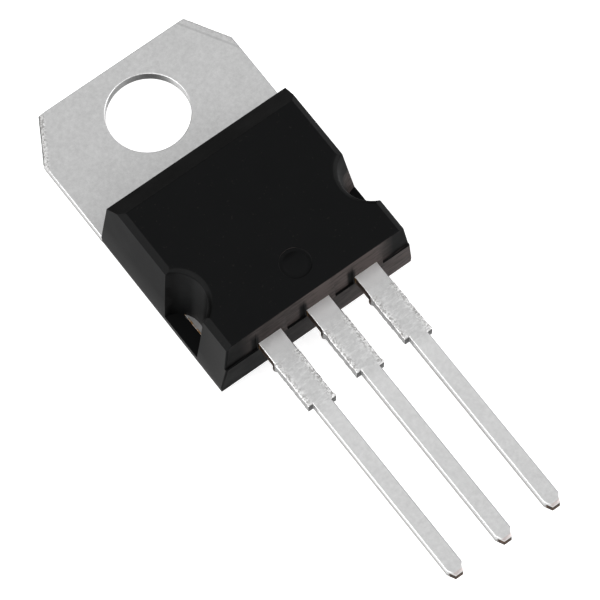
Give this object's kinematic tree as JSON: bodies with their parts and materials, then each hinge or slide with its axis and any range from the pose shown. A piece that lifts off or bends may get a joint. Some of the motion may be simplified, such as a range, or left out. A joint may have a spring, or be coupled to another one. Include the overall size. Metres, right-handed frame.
{
  "type": "voltage regulator",
  "caption": "Linear voltage regulator: a flat black moulded body with a bare metal cooling tab at one end, drilled for a screw, and straight through-hole leads at the other.",
  "frame": {"origin": "centre of the tab's mounting hole, on the back plane of the tab", "axes": "+Z out of the front face along the hole's axis, +Y from the leads towards the top of the tab, +X across the row of leads from the input side to the output side"},
  "size_m": [0.0102, 0.0288, 0.0045],
  "materials": {
    "moulding_compound": "fine satin, black",
    "tinned_copper": "satin tin plate on copper strip",
    "soft_solder": "dull grey",
    "silicon": "polished dark grey",
    "bond_aluminium": "drawn wire"
  },
  "bodies": {
    "root": {"moulded_body": "moulding_compound", "tab_frame": "tinned_copper", "input_lead": "tinned_copper", "output_lead": "tinned_copper", "die_solder": "soft_solder", "silicon_die": "silicon", "input_wire": "bond_aluminium", "output_wire": "bond_aluminium", "sense_wire": "bond_aluminium", "ground_wire": "bond_aluminium"}
  },
  "joints": []
}
